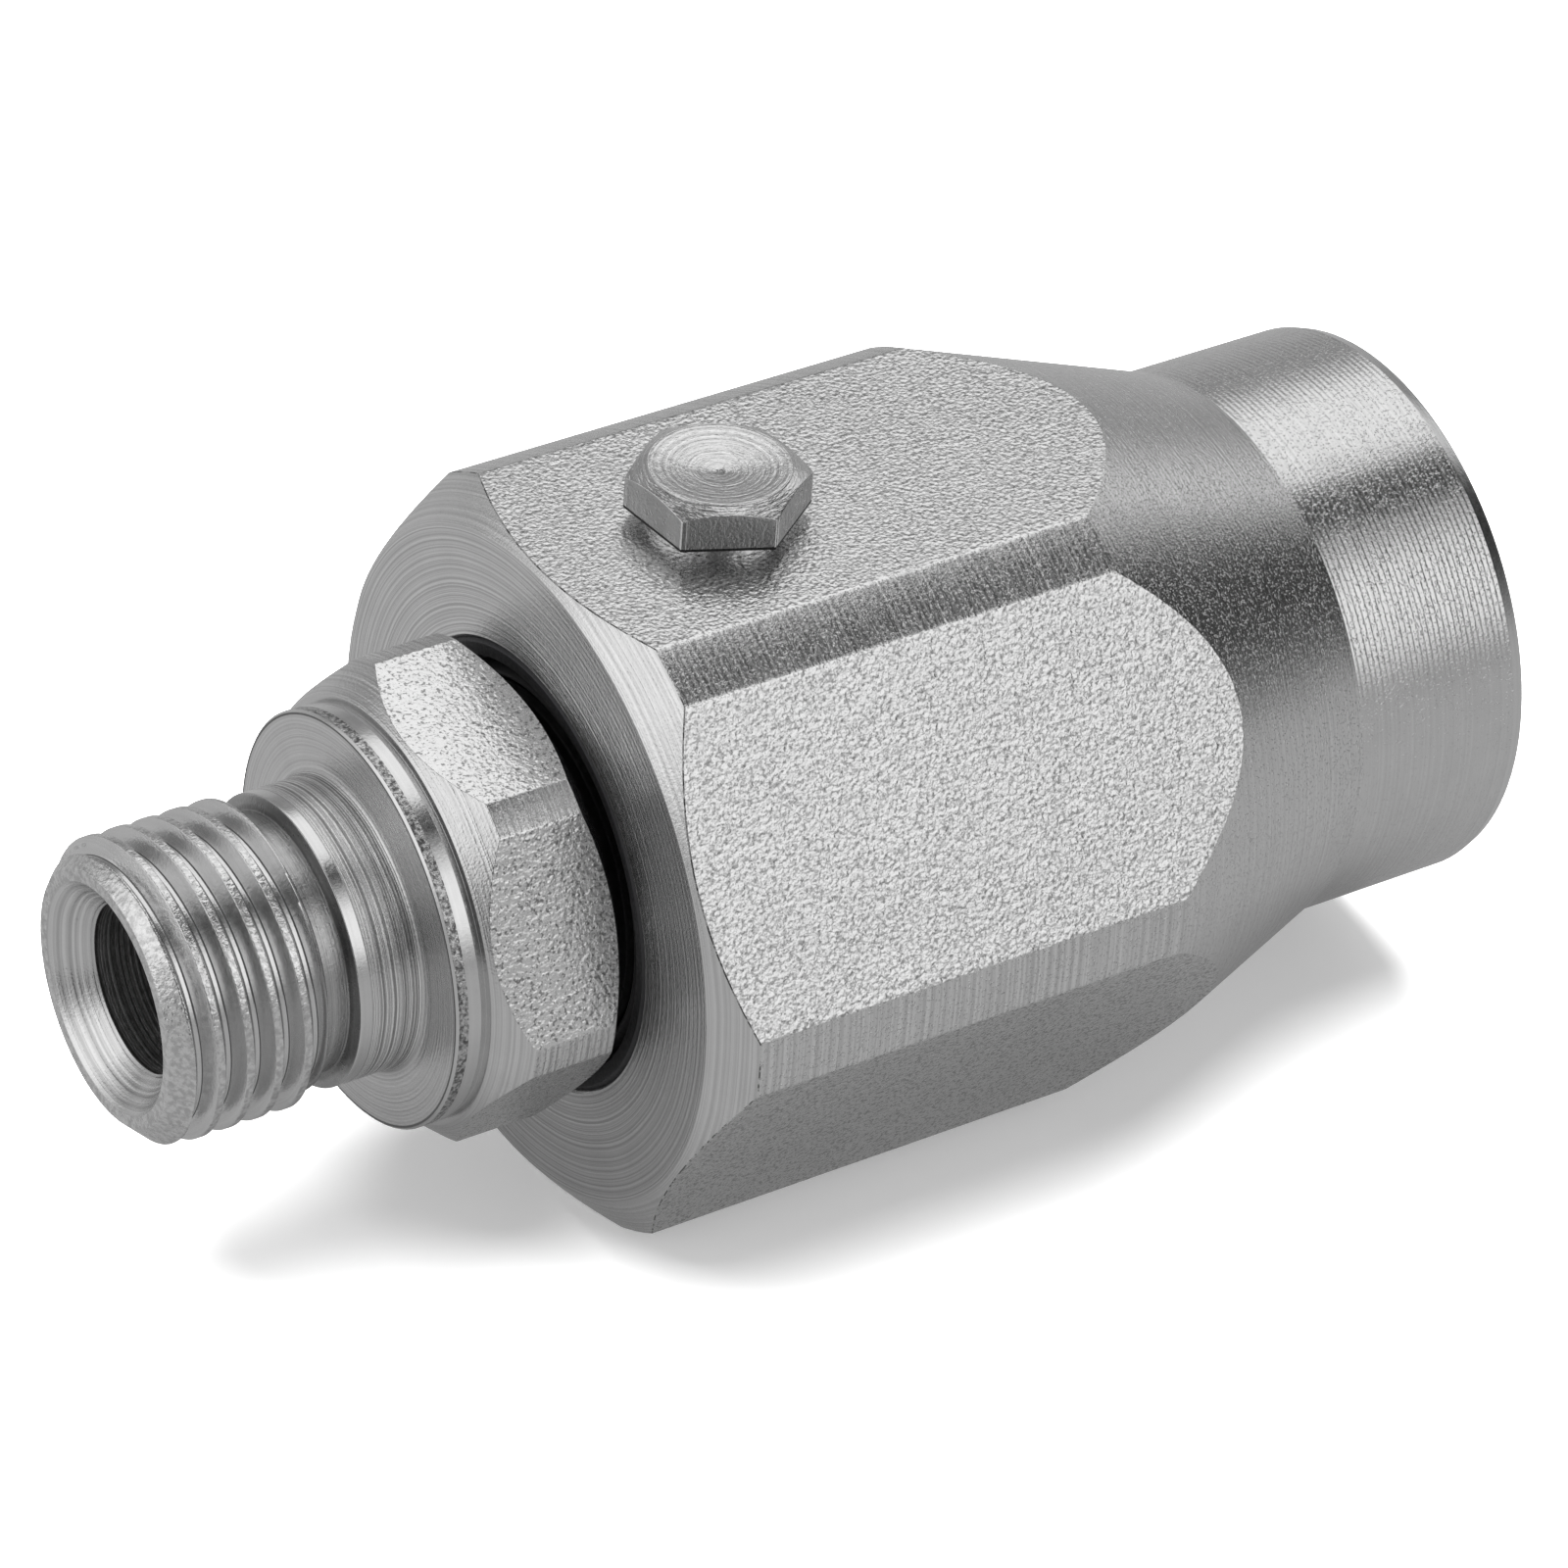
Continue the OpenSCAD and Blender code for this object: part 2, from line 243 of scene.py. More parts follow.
def add_piece(name, mesh, materials, body, nodes):
    for material in materials:
        mesh.materials.append(material)
    piece = bpy.data.objects.new(name, mesh)
    bpy.context.scene.collection.objects.link(piece)
    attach(piece, body)
    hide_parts(*nodes)


# Nodes

def shader(name, color, roughness, metallic=1.0):
    material = bpy.data.materials.new(name)
    material.use_nodes = True
    tree = material.node_tree
    bsdf = tree.nodes["Principled BSDF"]
    bsdf.inputs["Base Color"].default_value = (*color, 1)
    bsdf.inputs["Roughness"].default_value = roughness
    bsdf.inputs["Metallic"].default_value = metallic
    return material, tree, bsdf


def node(tree, kind, **values):
    """Adds a node. inputs holds its sockets by name or number, each with a value or a socket to link."""
    made = tree.nodes.new(kind)
    inputs = values.pop("inputs", {})
    for key, value in values.items():
        setattr(made, key, value)
    for key, value in inputs.items():
        if isinstance(value, bpy.types.NodeSocket):
            tree.links.new(value, made.inputs[key])
        else:
            made.inputs[key].default_value = value
    return made


def math_node(tree, operation, a, b=0.0, c=0.0):
    return node(tree, "ShaderNodeMath", operation=operation, inputs={0: a, 1: b, 2: c}).outputs[0]


def add_up(tree, *pairs):
    """The sum of value times weight."""
    total = 0.0
    for value, weight in pairs:
        total = math_node(tree, "MULTIPLY_ADD", value, weight, total)
    return total


def millimetres(tree):
    """Object coordinates in millimetres."""
    place = node(tree, "ShaderNodeTexCoord").outputs["Object"]
    scaled = node(tree, "ShaderNodeVectorMath", operation="SCALE", inputs={0: place, "Scale": 1000.0})
    return scaled.outputs[0]


def noise(tree, vector, scale, detail=2.0, rough=0.5):
    return node(tree, "ShaderNodeTexNoise", inputs={
        "Vector": vector, "Scale": scale, "Detail": detail, "Roughness": rough,
    }).outputs["Fac"]


def line_noise(tree, value, scale):
    """Noise along one length only, for turning lines."""
    return node(tree, "ShaderNodeTexNoise", noise_dimensions="1D", inputs={
        "W": value, "Scale": scale, "Detail": 3.0, "Roughness": 0.6,
    }).outputs["Fac"]


def ramp(tree, value, low, high, to_low, to_high, smooth=False):
    interpolation = "SMOOTHSTEP" if smooth else "LINEAR"
    return node(tree, "ShaderNodeMapRange", interpolation_type=interpolation, inputs={
        "Value": value, "From Min": low, "From Max": high, "To Min": to_low, "To Max": to_high,
    }).outputs[0]


def grey(tree, value):
    inputs = {"Red": value, "Green": value, "Blue": value}
    return node(tree, "ShaderNodeCombineColor", inputs=inputs).outputs[0]


def set_bump(tree, bsdf, *heights):
    """Gives the shader its relief: pairs of a value and the height in millimetres that it stands for."""
    inputs = {"Height": add_up(tree, *heights), "Distance": MM, "Strength": 1.0}
    tree.links.new(node(tree, "ShaderNodeBump", inputs=inputs).outputs[0], bsdf.inputs["Normal"])


def around(tree, place, center_x=None):
    """The split coordinates, and the distance from the swivel axis, or from the plug's axis at center_x."""
    split = node(tree, "ShaderNodeSeparateXYZ", inputs={0: place})
    a = split.outputs["Z"]
    if center_x is not None:
        a = math_node(tree, "SUBTRACT", split.outputs["X"], center_x)
    b = split.outputs["Y"]
    square = math_node(tree, "MULTIPLY_ADD", a, a, math_node(tree, "MULTIPLY", b, b))
    return split, math_node(tree, "SQRT", square)


# Materials. Noise scales are in features per millimetre.

ZINC = 0.66
SKIN_LIGHT = 1.12


def dirt_and_wear(tree, bsdf, place, roughness, tone, marks):
    """Faint clouding of the zinc, small dull specks, uneven gloss and the brightness of the marks."""
    cloud = noise(tree, place, 0.5, 3.0, 0.6)
    speck = ramp(tree, noise(tree, place, 2.3, 5.0, 0.7), 0.68, 0.74, 1.0, 0.72, smooth=True)
    base = math_node(tree, "MULTIPLY", ramp(tree, cloud, 0.3, 0.7, tone * 0.97, tone * 1.03), speck)
    base = math_node(tree, "MULTIPLY", base, marks)
    tree.links.new(grey(tree, base), bsdf.inputs["Base Color"])
    gloss = ramp(tree, noise(tree, place, 3.0, 2.0, 0.5), 0.3, 0.7, roughness * 1.15, roughness * 0.85)
    tree.links.new(gloss, bsdf.inputs["Roughness"])


def drawn_finish(name, pebble, fineness, darkest, pits):
    """Zinc over the pebbled skin of drawn hexagon bar. pits is the range of noise from pit to plain skin."""
    roughness = 0.25
    material, tree, bsdf = shader(name, (ZINC,) * 3, roughness)
    place = millimetres(tree)
    set_bump(
        tree, bsdf,
        (noise(tree, place, 4.6 * fineness, 1.0, 0.4), pebble),
        (noise(tree, place, 9.0 * fineness, 1.0, 0.5), pebble * 0.2),
        (noise(tree, place, 1.1, 1.0, 0.5), pebble * 0.35),
    )
    spots = ramp(tree, noise(tree, place, 5.5 * fineness, 1.0, 0.5), *pits, darkest, SKIN_LIGHT)
    dirt_and_wear(tree, bsdf, place, roughness, ZINC, spots)
    return material


def lathe_finish(name, facing=False, center_x=None, feed=0.27, ring=0.002, line=0.006, dash=0.008,
                 grain=0.012, roughness=0.22, tone=ZINC, contrast=0.08, density=6.0, spread=0.2, glint=0.0):
    """Zinc over a lathe finish.

    ring, line, dash, grain and glint are the heights of its marks in millimetres: the tool's feed, uneven
    turning lines, short scratches, fine grain and sparse raised specks. facing turns the marks on a flat
    face, and center_x turns them about the plug's axis. density, spread and contrast belong to the lines.
    """
    material, tree, bsdf = shader(name, (tone,) * 3, roughness)
    place = millimetres(tree)
    split, radius = around(tree, place, center_x)
    along = radius if facing or center_x is not None else split.outputs["X"]
    wander = math_node(tree, "MULTIPLY_ADD", noise(tree, place, 0.35, 1.0, 0.5), 0.07, along)
    wave = math_node(tree, "SINE", math_node(tree, "MULTIPLY", wander, 2 * math.pi / feed))
    lines = line_noise(tree, wander, density)
    dash_place = node(tree, "ShaderNodeCombineXYZ", inputs={
        "X": math_node(tree, "MULTIPLY", along, 8.0),
        "Y": math_node(tree, "MULTIPLY", split.outputs["Y"], 2.2),
        "Z": math_node(tree, "MULTIPLY", split.outputs["Z" if center_x is None else "X"], 2.2),
    }).outputs[0]
    set_bump(
        tree, bsdf,
        (wave, ring),
        (lines, line),
        (noise(tree, dash_place, 1.0, 2.0, 0.6), dash),
        (noise(tree, place, 8.0, 2.0, 0.6), grain),
        (ramp(tree, noise(tree, place, 8.0, 1.0, 0.5), 0.58, 0.7, 0.0, 1.0), glint),
    )
    marks = ramp(tree, lines, 0.5 - spread, 0.5 + spread, 1 - contrast, 1 + contrast)
    dirt_and_wear(tree, bsdf, place, roughness, tone, marks)
    return material


def nicked_finish(name):
    """Zinc with dark nicks, for the edge where a chamfer meets the drawn flats."""
    roughness = 0.3
    material, tree, bsdf = shader(name, (ZINC,) * 3, roughness)
    place = millimetres(tree)
    nicks = ramp(tree, noise(tree, place, 1.6, 4.0, 0.7), 0.47, 0.56, 1.0, 0.25, smooth=True)
    set_bump(tree, bsdf, (noise(tree, place, 5.0, 2.0, 0.6), 0.06))
    dirt_and_wear(tree, bsdf, place, roughness, ZINC, nicks)
    return material


def grainy_finish(name, scale, height, darkest, lightest, tone=ZINC):
    """A pebbled skin with dark and light spots, as on the thread's crests and the collar's scuffed edge."""
    roughness = 0.24
    material, tree, bsdf = shader(name, (tone,) * 3, roughness)
    place = millimetres(tree)
    set_bump(tree, bsdf, (noise(tree, place, scale, 2.0, 0.6), height))
    spots = ramp(tree, noise(tree, place, scale * 0.8, 2.0, 0.6), 0.38, 0.6, darkest, lightest)
    dirt_and_wear(tree, bsdf, place, roughness, tone, spots)
    return material


def rubber(name):
    material, tree, bsdf = shader(name, (0.012, 0.012, 0.013), 0.5, 0.0)
    bsdf.inputs["Specular IOR Level"].default_value = 0.3
    skin = noise(tree, millimetres(tree), 6.0, 3.0, 0.6)
    set_bump(tree, bsdf, (skin, 0.01))
    tree.links.new(ramp(tree, skin, 0.3, 0.7, 0.42, 0.6), bsdf.inputs["Roughness"])
    return material


def waxy(name, color, spread):
    """A dull plastic, clouded with a shade that is darker by spread."""
    material, tree, bsdf = shader(name, color, 0.45, 0.0)
    place = millimetres(tree)
    cloud = noise(tree, place, 2.5, 3.0, 0.6)
    mix = node(tree, "ShaderNodeMix", data_type="RGBA", inputs={"Factor": cloud})
    color_a, color_b, result = mix.inputs[6], mix.inputs[7], mix.outputs[2]
    color_a.default_value = (*(c * (1 - spread) for c in color), 1)
    color_b.default_value = (*color, 1)
    tree.links.new(result, bsdf.inputs["Base Color"])
    set_bump(tree, bsdf, (noise(tree, place, 9.0), 0.006))
    return material


def polished(name):
    material, tree, bsdf = shader(name, (0.75, 0.755, 0.76), 0.08)
    place = millimetres(tree)
    tree.links.new(ramp(tree, noise(tree, place, 3.0), 0.3, 0.7, 0.06, 0.14), bsdf.inputs["Roughness"])
    set_bump(tree, bsdf, (noise(tree, place, 12.0, 1.0), 0.001))
    return material


# The steel's finishes, in the order of the material slots of housing_body and stem_body.
(DRAWN, STRIP, CONE, RINGED, FACED, CREST, BORE, SMOOTH, COARSE, CHAMFER, EDGE, GROOVE, SCUFFED, MOUTH,
 FLANK, SHADE, PAINTED_SHADE_LINE, STEM_DRAWN) = range(18)
FINE_LINES = {"density": 8.0, "spread": 0.1}
FAINT_MARKS = {"ring": 0.0, "line": 0.004, "dash": 0.004}
steel_set = [
    drawn_finish("zinc_drawn", pebble=0.038, fineness=1.1, darkest=0.62, pits=(0.36, 0.49)),
    lathe_finish("zinc_strip", feed=0.3, ring=0.007, line=0.036, dash=0.02, contrast=0.14,
                 density=4.5, spread=0.12, glint=0.018),
    lathe_finish("zinc_cone", feed=0.25, ring=0.001, line=0.004, dash=0.012, grain=0.012, glint=0.016),
    lathe_finish("zinc_ringed", feed=0.27, ring=0.0052, line=0.004, dash=0.005, grain=0.008,
                 contrast=0.05, glint=0.009),
    lathe_finish("zinc_faced", facing=True, feed=0.3, ring=0.002, line=0.024, dash=0.01, grain=0.02,
                 contrast=0.2, **FINE_LINES),
    grainy_finish("zinc_crest", 5.0, 0.045, 0.8, SKIN_LIGHT),
    # The darker tone is painted shade inside the bores of the housing and the stem.
    lathe_finish("zinc_bore_painted_shade", feed=0.4, ring=0.003, line=0.02, roughness=0.42, tone=0.45,
                 contrast=0.6, spread=0.1),
    lathe_finish("zinc_smooth", ring=0.0, line=0.002, dash=0.003, grain=0.006, roughness=0.2, contrast=0.04),
    lathe_finish("zinc_coarse", feed=0.3, ring=0.005, line=0.075, dash=0.02, grain=0.012,
                 contrast=0.45, density=8.0, spread=0.08),
    lathe_finish("zinc_chamfer", facing=True, feed=0.2, ring=0.002, line=0.02, grain=0.02,
                 contrast=0.1, **FINE_LINES),
    nicked_finish("zinc_edge"),
    # The darker tone is painted shade in the thread's runout and the relief groove.
    lathe_finish("zinc_groove_painted_shade", line=0.02, dash=0.01, grain=0.015, roughness=0.3, tone=0.4, contrast=0.35),
    grainy_finish("zinc_scuffed", 7.0, 0.06, 0.3, 1.4, 0.42),
    lathe_finish("zinc_mouth", facing=True, feed=0.2, ring=0.003, line=0.03, grain=0.012, tone=0.62,
                 contrast=0.2, spread=0.12),
    # The flank that faces the lip: its tone is raised above the zinc's as painted light.
    lathe_finish("zinc_flank", **FAINT_MARKS, grain=0.01, tone=0.7, contrast=0.06),
    # The flank that faces away from the lip: its darker tone is painted shade.
    lathe_finish("zinc_flank_painted_shade", **FAINT_MARKS, tone=0.56),
    # A dark line of painted shade, in the thread's roots and near the collar face's outer edge.
    lathe_finish("zinc_painted_shade_line", **FAINT_MARKS, roughness=0.4, tone=0.2),
    drawn_finish("zinc_stem_drawn", pebble=0.04, fineness=1.1, darkest=0.45, pits=(0.34, 0.43)),
]
nitrile = rubber("nitrile")


# Threads, both G1/4. Places in a turn run from 0 at the root, through 0.5 at the crest, to 1.

PITCH = 1.337
MAJOR_R = 13.157 / 2
MINOR_R = 11.445 / 2
ROOT_R = 5.84            # the male thread's root, as deep as it shows in the photo
ROOT_U = 2.21            # from the lip to the middle of a root, at the top of the part
ROOT_HALF = 0.1
MALE_CREST = 0.378
FEMALE_CREST = 0.43
HALF_KNOTS = np.array([
    0, 0.03, 0.055, 0.08, 0.11, 0.16, 0.22, 0.28, 0.33, 0.358, 0.37, 0.378, 0.386, 0.41, 0.46,
])
KNOTS = np.concatenate([HALF_KNOTS, [0.5], 1 - HALF_KNOTS[:0:-1]])


def thread_height(turns, crest_start):
    """Height of a flat-topped thread, from 0 at the root to 1 at the crest, by place in turns."""
    away = np.abs((turns + 0.5) % 1 - 0.5)
    flank = (away - ROOT_HALF) / (crest_start - ROOT_HALF)
    return smooth_max(smooth_min(flank, np.ones_like(flank), 0.045), np.zeros_like(flank), 0.15)


# Housing

HOUSING_FLAT = 14.9999
CORNER_R = 16.594
FRONT_X = LIP + 19.7
FRONT_FACE_R = 14.75
FRONT_CHAMFER_DEG = 51.5
CONE_X = LIP + 42.0
CONE_DEG = 19.4
REAR_R = 12.35
NEST_R = 9.85
NEST_END = FRONT_X + 2.9
SHAFT_R = 8.0
BORE_R = 3.65
HOUSING_BORE_R = SHAFT_R + 0.04
PORT_R = MINOR_R
PORT_RUNOUT = -10.5
PORT_FLOOR = -12.2
PORT_DRILL_X = PORT_FLOOR - (PORT_R - BORE_R) / tan(59)
CAVITY_END = PORT_DRILL_X - 1.2
RACE_X = LIP + 28.4
PITCH_R = SHAFT_R + 0.02
RACE_R = 2.05
RACE_STEPS = 15


def race_points(profile, radius, forward, side):
    """Adds the race groove's arc to a profile that runs along the bore or the shaft."""
    half = math.asin(min(1, abs(radius - PITCH_R) / RACE_R))
    ends = (math.pi - half, half) if forward else (half, math.pi - half)
    for a in np.linspace(*ends, RACE_STEPS):
        profile.to(RACE_X + RACE_R * math.cos(a), PITCH_R + side * RACE_R * math.sin(a))


def port_radius(x, angles):
    """Radius of the female thread, which opens into the countersink and runs out before the drill point."""
    turns = x / PITCH - angles / (2 * math.pi)
    fade = ease((x - PORT_RUNOUT) / PITCH)
    groove = PORT_R + (MAJOR_R - PORT_R) * (1 - thread_height(turns + 0.5, FEMALE_CREST)) * fade
    return smooth_max(groove, PORT_R + x, 0.05)


def make_housing():
    columns = hex_columns(HOUSING_FLAT, CORNER_R, 0.0)
    radius = hex_radius(columns, HOUSING_FLAT, 0.0, CORNER_R, 0.05)
    chamfer_end = FRONT_X + (radius - FRONT_FACE_R) / tan(FRONT_CHAMFER_DEG)
    cone_start = CONE_X + (CORNER_R - radius) / tan(CONE_DEG)
    rear_x = CONE_X + (CORNER_R - REAR_R) / tan(CONE_DEG)
    thread_low, thread_high = -10.6, 0.9

    p = Profile(columns)
    p.to(thread_low, PORT_R, 0, BORE)
    p.to(PORT_FLOOR, PORT_R, 0.1)
    p.to(PORT_DRILL_X, BORE_R, 0.1)
    p.to(CAVITY_END, BORE_R, 0.1, FACED)
    p.to(CAVITY_END, HOUSING_BORE_R - 0.4, 0.05, SMOOTH)
    p.to(CAVITY_END - 0.4, HOUSING_BORE_R, 0.05)
    race_points(p, HOUSING_BORE_R, False, 1)
    p.to(NEST_END + 0.7, HOUSING_BORE_R, 0.05)
    p.to(NEST_END, HOUSING_BORE_R + 0.4, 0.05, FACED)
    p.to(NEST_END, NEST_R, 0.1, SMOOTH)
    p.to(FRONT_X + 0.15, NEST_R, 0.03)
    p.to(FRONT_X, NEST_R + 0.15, 0.05, FACED)
    p.to(FRONT_X, FRONT_FACE_R, 0.1, CHAMFER)
    p.to(chamfer_end - 0.03, radius - 0.035, 0.02, EDGE)
    p.to(chamfer_end + 0.03, radius, 0.02, flat_or_strip(columns, HOUSING_FLAT, CORNER_R, 0.0, DRAWN))
    p.to(cone_start, radius, 0.12, CONE)
    p.to(rear_x, REAR_R, 0.2, RINGED)
    p.to(FACE_X - 0.6, REAR_R, 0.12, SMOOTH)
    p.to(FACE_X, REAR_R - 0.2, 0.08, FACED)
    p.to(FACE_X, PORT_R + 1.2, 0.08, CHAMFER)
    p.to(thread_high, PORT_R + thread_high, 0, SMOOTH)
    x, r, zones = p.rows()
    x[-1], r[-1] = thread_high, port_radius(thread_high, columns)
    r[0] = port_radius(thread_low, columns)
    shell = Shell(columns)
    shell.turned(x, r, zones, closed=False)
    shell.threaded(thread_low, thread_high, 0.0, KNOTS[::2], port_radius, lambda knot, x: SMOOTH, inward=True)
    add_piece("housing_body", shell.mesh("housing_body"), steel_set, "fixed_housing", ["housing"])


# Stem

NOSE_R = 5.55
MOUTH_R = 5.0
MOUTH_DEG = 42
RELIEF_U = 7.3
RELIEF_X = LIP + RELIEF_U
RELIEF_END = RELIEF_X + 1.1
RELIEF_R = 5.6
RELIEF_WALL_DEG = 63
NECK_R = 6.35
COLLAR_X = LIP + 11.35
COLLAR_R = 9.05
COLLAR_WIDTH = 1.2
GROOVE_WIDTH = 0.25
STEM_FLAT = 9.5
STEM_CORNER_R = 10.55
STEM_REST = 7.6
FOOT_R = 9.3
FOOT_DEG = 41
STEM_BACK_X = LIP + 18.95
STEM_BACK_R = 9.25
STEM_BACK_DEG = 55
STEM_END = CAVITY_END - 0.3
SEAL_X = RACE_X + RACE_R + 1.2
SEAL_WIDTH = 4.25
GUIDE_WIDTH = 2.6
GUIDE_X = STEM_END - 1 - GUIDE_WIDTH
NOSE_AT_ROOT = 0.45      # the share of the nose's length where a root cuts into it
NEAR_ROOT = 0.3          # from the middle of the crest, in turns
# By place in a turn: a painted dark line of shade in the root, the flank facing the lip painted lighter, the
# crest, and the flank facing away painted darker as shade.
THREAD_ZONES = ((0.07, 0.1, PAINTED_SHADE_LINE), (0.1, 0.36, FLANK), (0.36, 0.62, CREST), (0.62, 0.93, SHADE))


def male_radius(x, angles):
    """Radius of the male thread, limited by the nose's chamfer and by the wall of the relief groove."""
    u = x - LIP
    turns = (u - ROOT_U) / PITCH - angles / (2 * math.pi)
    body = ROOT_R + (MAJOR_R - ROOT_R) * thread_height(turns, MALE_CREST)
    nose = NOSE_R + u
    wall = RELIEF_R + (RELIEF_U - u) * tan(RELIEF_WALL_DEG)
    return smooth_min(body, np.minimum(nose, wall), 0.06)


def male_zone(knot, x):
    """The male thread's finish by place in the turn: painted light on the flank that faces the lip, painted
    shade on the flank that faces away, and a painted dark line of shade in the root. The nose and the crests
    keep the bar's skin.
    """
    nose_share = NOSE_AT_ROOT if abs(knot - 0.5) > NEAR_ROOT else 1
    if x < LIP + (MAJOR_R - NOSE_R) * nose_share:
        return CREST
    for low, high, zone in THREAD_ZONES:
        if low < knot < high:
            return zone
    return SMOOTH


def make_stem():
    columns = hex_columns(STEM_FLAT, STEM_CORNER_R, STEM_REST)
    radius = hex_radius(columns, STEM_FLAT, STEM_REST, STEM_CORNER_R, 0.04)
    foot_x = COLLAR_X + COLLAR_WIDTH + GROOVE_WIDTH
    hexagon_front = foot_x + (radius - FOOT_R) / tan(FOOT_DEG)
    hexagon_rear = STEM_BACK_X - (radius - STEM_BACK_R) / tan(STEM_BACK_DEG)
    thread_low, thread_high = LIP + 0.1, LIP + 6.8

    p = Profile(columns)
    for x in np.linspace(thread_high, RELIEF_X - 0.03, 9):
        p.to(x, male_radius(np.full_like(columns, x), columns), 0, GROOVE)
    p.to(RELIEF_X, RELIEF_R, 0.05)
    p.to(RELIEF_END - 0.1, RELIEF_R, 0.08)
    p.to(RELIEF_END, NECK_R, 0.06, SMOOTH)
    p.to(RELIEF_END + 0.55, NECK_R, 0, COARSE)
    p.to(COLLAR_X, NECK_R, 0.4, CHAMFER)
    # A thin ring of painted shade just inside the collar face's outer edge.
    p.to(COLLAR_X, COLLAR_R - 0.2, 0, PAINTED_SHADE_LINE)
    p.to(COLLAR_X, COLLAR_R - 0.1, 0.02, SMOOTH)
    p.to(COLLAR_X + 0.1, COLLAR_R, 0.02, SCUFFED)
    p.to(COLLAR_X + 0.55, COLLAR_R, 0, SMOOTH)
    p.to(COLLAR_X + COLLAR_WIDTH - 0.05, COLLAR_R, 0.03)
    p.to(COLLAR_X + COLLAR_WIDTH, COLLAR_R - 0.1, 0.02)
    p.to(foot_x, COLLAR_R - 0.12, 0.02)
    p.to(foot_x, FOOT_R, 0.05, CHAMFER)
    p.to(hexagon_front, radius, 0.06, flat_or_strip(columns, STEM_FLAT, STEM_CORNER_R, STEM_REST, STEM_DRAWN))
    p.to(hexagon_rear, radius, 0.06, CHAMFER)
    p.to(STEM_BACK_X, STEM_BACK_R, 0.08, FACED)
    p.to(STEM_BACK_X, SHAFT_R + 0.35, 0.05, SMOOTH)
    p.to(STEM_BACK_X + 0.35, SHAFT_R, 0.05)
    race_points(p, SHAFT_R, True, -1)
    for start, width, bottom in ((SEAL_X, SEAL_WIDTH, SHAFT_R - 1.8), (GUIDE_X, GUIDE_WIDTH, SHAFT_R - 1)):
        p.to(start, SHAFT_R, 0.05, FACED)
        p.to(start, bottom, 0.08, SMOOTH)
        p.to(start + width, bottom, 0.08, FACED)
        p.to(start + width, SHAFT_R, 0.05, SMOOTH)
    p.to(STEM_END - 0.6, SHAFT_R, 0.05)
    p.to(STEM_END, SHAFT_R - 0.35, 0.05, FACED)
    p.to(STEM_END, BORE_R + 0.5, 0.05, SMOOTH)
    p.to(STEM_END - 0.5, BORE_R, 0.05, BORE)
    p.to(LIP + (MOUTH_R - BORE_R) / tan(MOUTH_DEG), BORE_R, 0.06, MOUTH)
    p.to(LIP, MOUTH_R, 0.12, CREST)
    p.to(LIP, NOSE_R, 0.12)
    p.to(thread_low, male_radius(np.full_like(columns, thread_low), columns))
    x, r, zones = p.rows()
    shell = Shell(columns)
    shell.turned(x, r, zones, closed=False)
    shell.threaded(thread_low, thread_high, LIP + ROOT_U, KNOTS, male_radius, male_zone, inward=False)
    add_piece("stem_body", shell.mesh("stem_body"), steel_set, "turning_stem", ["swivel_stem"])


# Plug and wiper

PLUG_FLAT = 3.4
PLUG_CORNER_R = 3.93
PLUG_REST = 5.8
PLUG_CHAMFER_DEG = 27
PLUG_TOP = 17.5
PLUG_BASE = 15.5
PLUG_FACE_R = 3.0
DISH_R = 2.85
DISH_DEPTH = 0.4
WASHER_R = 3.15
SHANK_R = 2.45
SHANK_END = 11.1
TIP_R = 2.0
TIP_END = 10.3
PINHOLE_R = 0.02         # the profile stops this close to the axis
NO_LIMIT = 99.0
PLUG_SIDE, PLUG_CAP, PLUG_SHADOW_LINE = range(3)


